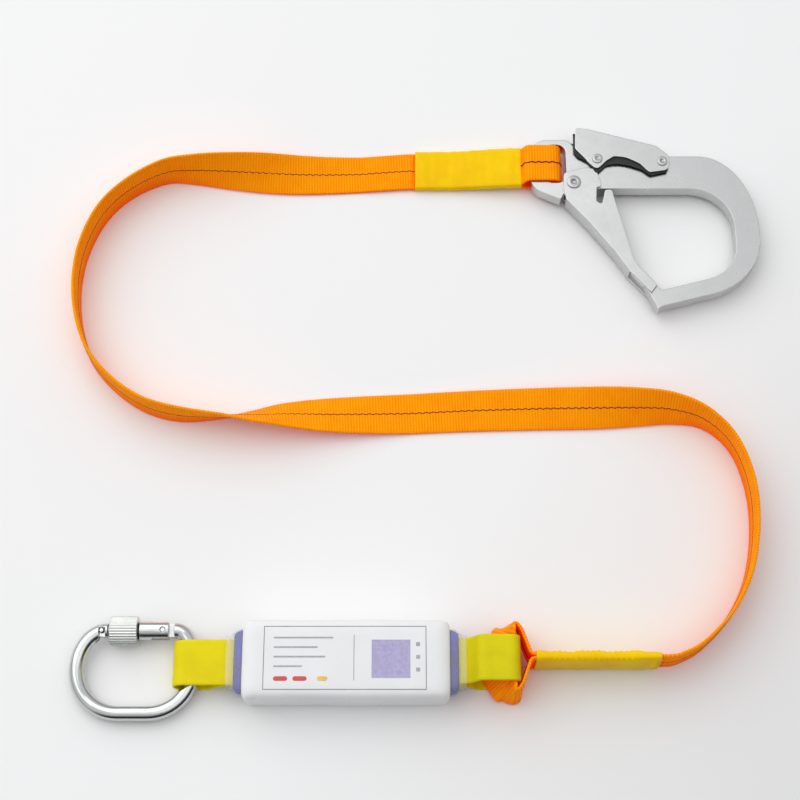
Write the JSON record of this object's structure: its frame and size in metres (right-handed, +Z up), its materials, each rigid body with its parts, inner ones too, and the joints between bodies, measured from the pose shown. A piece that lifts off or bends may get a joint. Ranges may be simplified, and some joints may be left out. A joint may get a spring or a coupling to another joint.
{
  "type": "shock absorbing lanyard",
  "caption": "Fall-arrest lanyard: double-action scaffold hook, flat webbing strap with sewn eyes, tear-webbing absorber pack and screw-gate carabiner.",
  "frame": {"origin": "middle of the absorber cover's flat underside", "axes": "+X along the pack towards the strap, +Y from the pack towards the hook, +Z up from the surface it lies on"},
  "size_m": [0.5953, 0.5276, 0.0399],
  "materials": {
    "webbing": "woven polyester webbing, matte",
    "sleeve_plastic": "shrunk plastic sleeve, satin",
    "loop_plastic": "coated webbing, satin",
    "cover_plastic": "white film cover, satin",
    "wrap_plastic": "blue inner wrap",
    "tear_webbing": "folded tear webbing",
    "film": "clear shrink film",
    "plated_steel": "zinc plated, satin",
    "polished_steel": "zinc plated, bright",
    "spring_steel": "spring wire"
  },
  "bodies": {
    "absorber": {"pack_cover": "cover_plastic", "clear_film": "film", "inner_wrap": "wrap_plastic", "tear_webbing_upper": "tear_webbing", "tear_webbing_lower": "tear_webbing", "carabiner_loop": "loop_plastic", "strap_loop": "loop_plastic", "absorber_end_eye": "webbing", "absorber_end_sleeve": "sleeve_plastic", "lanyard_strap": "webbing", "hook_end_sleeve": "sleeve_plastic", "hook_end_loop": "webbing"},
    "carabiner": {"carabiner_body": "polished_steel", "carabiner_hinge_pin": "polished_steel"},
    "carabiner_gate": {"carabiner_gate": "polished_steel", "carabiner_latch_pin": "polished_steel", "carabiner_plunger": "polished_steel", "carabiner_gate_spring": "spring_steel"},
    "screw_sleeve": {"carabiner_screw_sleeve": "polished_steel"},
    "hook": {"hook_body": "plated_steel", "hook_gate_rivet": "plated_steel", "hook_lever_rivet": "plated_steel", "hook_lever_washer_upper": "plated_steel", "hook_lever_washer_lower": "plated_steel", "hook_gate_spring": "spring_steel", "hook_lever_spring": "spring_steel"},
    "hook_gate": {"hook_gate": "plated_steel"},
    "hook_lever": {"hook_lock_lever": "plated_steel", "hook_lock_pin": "plated_steel"}
  },
  "joints": [
    {"name": "carabiner_swing", "type": "hinge", "parent": "absorber", "child": "carabiner", "pos_m": [-0.1215, 0, 0.01001], "axis": [0, 0.9978, 0.0662], "range_deg": [-60, 60], "deforming": ["carabiner_loop"]},
    {"name": "carabiner_gate_hinge", "type": "hinge", "parent": "carabiner", "child": "carabiner_gate", "pos_m": [-0.146, 0.02694, 0.0118], "axis": [0, -0.0662, 0.9978], "range_deg": [0, 25], "stiffness_Nm_per_rad": 0.2, "springref_deg": -57.3},
    {"name": "screw_sleeve_turn", "type": "hinge", "parent": "carabiner_gate", "child": "screw_sleeve", "pos_m": [-0.146, 0.02694, 0.0118], "axis": [-1, 0, 0], "range_deg": [0, 720]},
    {"name": "hook_swing", "type": "hinge", "parent": "absorber", "child": "hook", "pos_m": [0.164, 0.45, 0.0119], "axis": [0, 1, 0], "range_deg": [-60, 60], "deforming": ["hook_end_loop"]},
    {"name": "hook_gate_hinge", "type": "hinge", "parent": "hook", "child": "hook_gate", "pos_m": [0.196, 0.43, 0.0119], "axis": [0, 0, 1], "range_deg": [0, 45], "stiffness_Nm_per_rad": 0.6, "springref_deg": -85.94, "deforming": ["hook_gate_spring"]},
    {"name": "hook_lever_hinge", "type": "hinge", "parent": "hook", "child": "hook_lever", "pos_m": [0.275, 0.45, 0.0119], "axis": [0, 0, 1], "range_deg": [0, 6], "stiffness_Nm_per_rad": 3, "springref_deg": -14.32, "deforming": ["hook_lever_spring"]}
  ]
}
